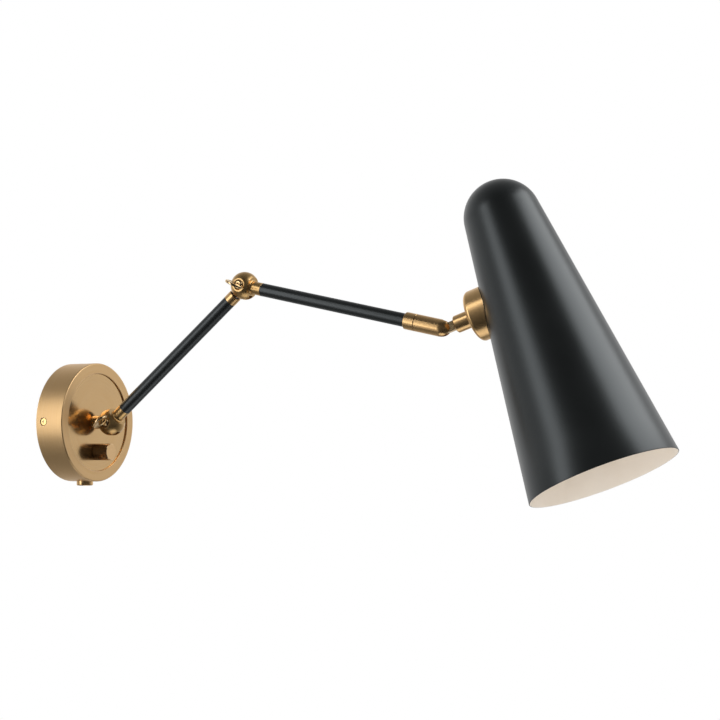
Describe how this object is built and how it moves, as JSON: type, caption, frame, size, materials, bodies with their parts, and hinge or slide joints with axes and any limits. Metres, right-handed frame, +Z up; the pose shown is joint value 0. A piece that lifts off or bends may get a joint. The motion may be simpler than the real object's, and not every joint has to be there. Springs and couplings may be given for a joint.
{
  "type": "wall lamp",
  "caption": "Swing-arm wall lamp: round brass canopy with a dimmer knob, black tubes on ball knuckles with winged keys, and a long black cone shade on a tilting head",
  "frame": {"origin": "centre of the canopy's back, on the wall's face, midway between the two wall screw slots", "axes": "+Y into the wall, so the lamp stands out along -Y; +Z up; +X to the right of someone who faces the wall"},
  "size_m": [0.1352, 0.6288, 0.2937],
  "materials": {
    "satin_brass": "fine-brushed satin brass",
    "polished_brass": "polished brass",
    "plain_brass": "turned, unlacquered brass",
    "steel": "bright steel",
    "zinc_steel": "zinc-plated sheet steel",
    "black_paint": "satin black powder coat, creamy white inside the shade",
    "black_plastic": "moulded black",
    "white_plastic": "glazed white",
    "lead_cover": "matt black sheath",
    "gasket_rubber": "matt black",
    "bulb_metal": "bare metal screw cap",
    "opal_glass": "frosted opal glass"
  },
  "bodies": {
    "canopy": {"canopy_ring": "satin_brass", "face_disc": "polished_brass", "disc_screws": "steel", "wall_bracket": "zinc_steel", "side_screws": "polished_brass", "terminal_block": "white_plastic", "terminal_screws": "steel", "earth_screw": "steel", "cord_bushing": "satin_brass", "bushing_nut": "plain_brass", "dimmer_body": "black_plastic", "dimmer_bush": "plain_brass", "dimmer_nut": "plain_brass"},
    "knob": {"knob": "satin_brass", "dimmer_shaft": "steel", "knob_grub": "steel"},
    "post": {"post": "satin_brass", "post_washer": "plain_brass", "post_nut": "plain_brass", "post_tongue": "steel"},
    "arm_1": {"knuckle_1": "satin_brass", "arm_1_tube": "black_paint", "arm_1_collar": "satin_brass", "elbow_tongue": "steel", "arm_1_lead": "lead_cover"},
    "key_1": {"key_1": "polished_brass"},
    "arm_2": {"knuckle_2": "satin_brass", "arm_2_tube": "black_paint", "arm_2_collar": "satin_brass", "swivel_pin": "plain_brass", "arm_2_lead": "lead_cover"},
    "key_2": {"key_2": "polished_brass"},
    "head_cap": {"head_cap": "satin_brass", "cap_grub": "steel", "hinge_screw": "polished_brass"},
    "head": {"head_tongue": "polished_brass", "stem": "satin_brass", "cup": "satin_brass", "cup_gasket": "gasket_rubber", "shade": "black_paint", "saddle_washer": "zinc_steel", "holder_strap": "zinc_steel", "shade_nipple": "plain_brass", "shade_nut": "plain_brass", "holder_nipple": "plain_brass", "holder_nut": "plain_brass", "holder_cap": "white_plastic", "holder_skirt": "white_plastic", "screw_shell": "plain_brass", "centre_contact": "plain_brass", "bulb_cap": "bulb_metal", "bulb_glass": "opal_glass"}
  },
  "joints": [
    {"name": "post_swivel", "type": "hinge", "parent": "canopy", "child": "post", "pos_m": [0, 0, 0], "axis": [0, -1, 0], "range_deg": [-160, 50]},
    {"name": "arm_1_tilt", "type": "hinge", "parent": "post", "child": "arm_1", "pos_m": [0, -0.0476, 0], "axis": [-1, 0, 0], "range_deg": [-108, 28]},
    {"name": "key_1_turn", "type": "hinge", "parent": "arm_1", "child": "key_1", "pos_m": [0, -0.0476, 0], "axis": [-1, 0, 0], "range_deg": [0, 180]},
    {"name": "arm_2_tilt", "type": "hinge", "parent": "arm_1", "child": "arm_2", "pos_m": [0, -0.20387, 0.13113], "axis": [-1, 0, 0], "range_deg": [-59, 98]},
    {"name": "key_2_turn", "type": "hinge", "parent": "arm_2", "child": "key_2", "pos_m": [0, -0.20387, 0.13113], "axis": [-1, 0, 0], "range_deg": [0, 180]},
    {"name": "head_swivel", "type": "hinge", "parent": "arm_2", "child": "head_cap", "pos_m": [0, -0.38725, 0.08879], "axis": [0, -0.9744, -0.225], "range_deg": [-165, 165]},
    {"name": "head_tilt", "type": "hinge", "parent": "head_cap", "child": "head", "pos_m": [0, -0.41629, 0.08209], "axis": [-0.9971, -0.0173, 0.0748], "range_deg": [-112.5, 47.2]},
    {"name": "knob_turn", "type": "hinge", "parent": "canopy", "child": "knob", "pos_m": [0, -0.03, -0.03], "axis": [0, -1, 0], "range_deg": [0, 290]}
  ]
}
